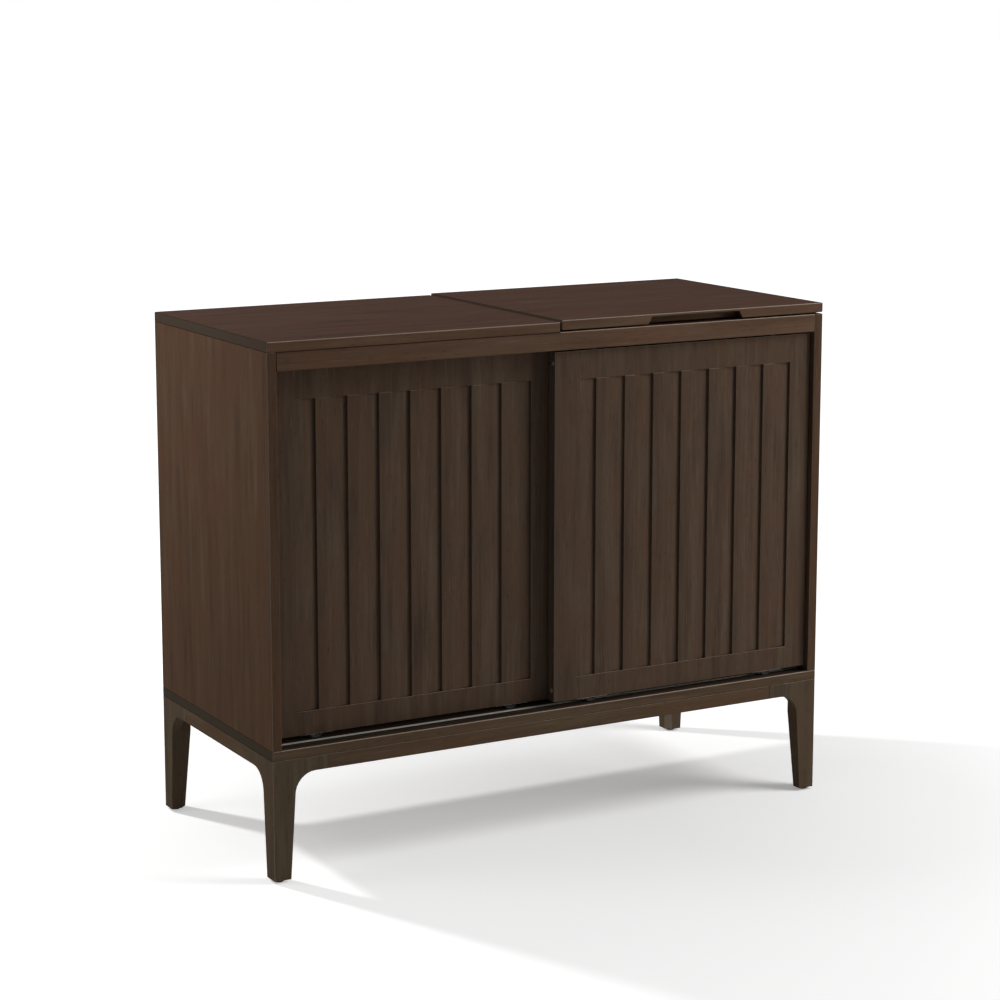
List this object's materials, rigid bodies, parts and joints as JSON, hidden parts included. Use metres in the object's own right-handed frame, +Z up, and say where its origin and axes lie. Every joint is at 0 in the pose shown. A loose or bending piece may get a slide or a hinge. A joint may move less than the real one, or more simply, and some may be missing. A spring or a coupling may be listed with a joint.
{
  "type": "record player stand",
  "caption": "Low wooden cabinet on bracket legs with fluted bypass sliding doors and a lift-up lid over a turntable bay, for a record player and records.",
  "frame": {"origin": "on the floor, under the middle of the stand's whole box with the hinge knuckles at the back included", "axes": "+X along the width to the right, +Y from the front to the back, +Z up"},
  "size_m": [0.9, 0.4004, 0.7475],
  "materials": {
    "stained_wood": "satin",
    "back_board": "matte",
    "beech_dowel": "matte",
    "zinc_steel": "zinc plated",
    "bronze_aluminium": "bronze anodised",
    "nylon_wheel": "moulded",
    "nylon_guide": "moulded",
    "clear_bumper": "soft satin",
    "black_glide": "moulded"
  },
  "bodies": {
    "cabinet": {"apron_dowels": "beech_dowel", "back_screws": "zinc_steel", "base_panel": "stained_wood", "base_screws": "zinc_steel", "carcass_dowels": "beech_dowel", "centre_divider": "stained_wood", "fixed_hinge_leaves": "zinc_steel", "fixed_hinge_screws": "zinc_steel", "fixed_top": "stained_wood", "foot_glides": "black_glide", "front_apron": "stained_wood", "front_left_leg": "stained_wood", "front_right_leg": "stained_wood", "front_top_rail": "stained_wood", "hinge_pins": "zinc_steel", "left_apron": "stained_wood", "left_back_panel": "back_board", "left_side_panel": "stained_wood", "lid_bumpers": "clear_bumper", "lower_track": "bronze_aluminium", "rear_apron": "stained_wood", "rear_left_leg": "stained_wood", "rear_right_leg": "stained_wood", "rear_top_rail": "stained_wood", "record_shelf": "stained_wood", "right_apron": "stained_wood", "right_back_panel": "back_board", "right_side_panel": "stained_wood", "shelf_pins": "zinc_steel", "top_screws": "zinc_steel", "turntable_shelf": "stained_wood", "upper_guides": "nylon_guide"},
    "front_door": {"front_door_bottom_rail": "stained_wood", "front_door_edge_bumpers": "clear_bumper", "front_door_fluted_panel": "stained_wood", "front_door_guide_pins": "nylon_guide", "front_door_left_stile": "stained_wood", "front_door_right_stile": "stained_wood", "front_door_roller_axles": "zinc_steel", "front_door_roller_housings": "zinc_steel", "front_door_roller_screws": "zinc_steel", "front_door_top_rail": "stained_wood"},
    "rear_door": {"rear_door_bottom_rail": "stained_wood", "rear_door_edge_bumpers": "clear_bumper", "rear_door_fluted_panel": "stained_wood", "rear_door_guide_pins": "nylon_guide", "rear_door_left_stile": "stained_wood", "rear_door_right_stile": "stained_wood", "rear_door_roller_axles": "zinc_steel", "rear_door_roller_housings": "zinc_steel", "rear_door_roller_screws": "zinc_steel", "rear_door_top_rail": "stained_wood"},
    "lid": {"lid": "stained_wood", "lid_hinge_leaves": "zinc_steel", "lid_hinge_screws": "zinc_steel"},
    "front_left_roller": {"front_door_left_wheel": "nylon_wheel"},
    "front_right_roller": {"front_door_right_wheel": "nylon_wheel"},
    "rear_left_roller": {"rear_door_left_wheel": "nylon_wheel"},
    "rear_right_roller": {"rear_door_right_wheel": "nylon_wheel"}
  },
  "joints": [
    {"name": "front_door_slide", "type": "slide", "parent": "cabinet", "child": "front_door", "axis": [1, 0, 0], "range_m": [-0.4292, 0]},
    {"name": "rear_door_slide", "type": "slide", "parent": "cabinet", "child": "rear_door", "axis": [1, 0, 0], "range_m": [0, 0.4292]},
    {"name": "lid_hinge", "type": "hinge", "parent": "cabinet", "child": "lid", "pos_m": [0.22562, 0.19775, 0.73225], "axis": [-1, 0, 0], "range_deg": [0, 90]},
    {"name": "front_left_roller_spin", "type": "hinge", "parent": "front_door", "child": "front_left_roller", "pos_m": [0.061, -0.18325, 0.1973], "axis": [0, 1, 0], "range_deg": [-2235.6, 0]},
    {"name": "front_right_roller_spin", "type": "hinge", "parent": "front_door", "child": "front_right_roller", "pos_m": [0.3682, -0.18325, 0.1973], "axis": [0, 1, 0], "range_deg": [-2235.6, 0]},
    {"name": "rear_left_roller_spin", "type": "hinge", "parent": "rear_door", "child": "rear_left_roller", "pos_m": [-0.3682, -0.16125, 0.1973], "axis": [0, 1, 0], "range_deg": [0, 2235.6]},
    {"name": "rear_right_roller_spin", "type": "hinge", "parent": "rear_door", "child": "rear_right_roller", "pos_m": [-0.061, -0.16125, 0.1973], "axis": [0, 1, 0], "range_deg": [0, 2235.6]}
  ],
  "couplings": [
    {"joint": "front_left_roller_spin", "follows": "front_door_slide", "rad_per_m": 90.909},
    {"joint": "front_right_roller_spin", "follows": "front_door_slide", "rad_per_m": 90.909},
    {"joint": "rear_left_roller_spin", "follows": "rear_door_slide", "rad_per_m": 90.909},
    {"joint": "rear_right_roller_spin", "follows": "rear_door_slide", "rad_per_m": 90.909}
  ]
}
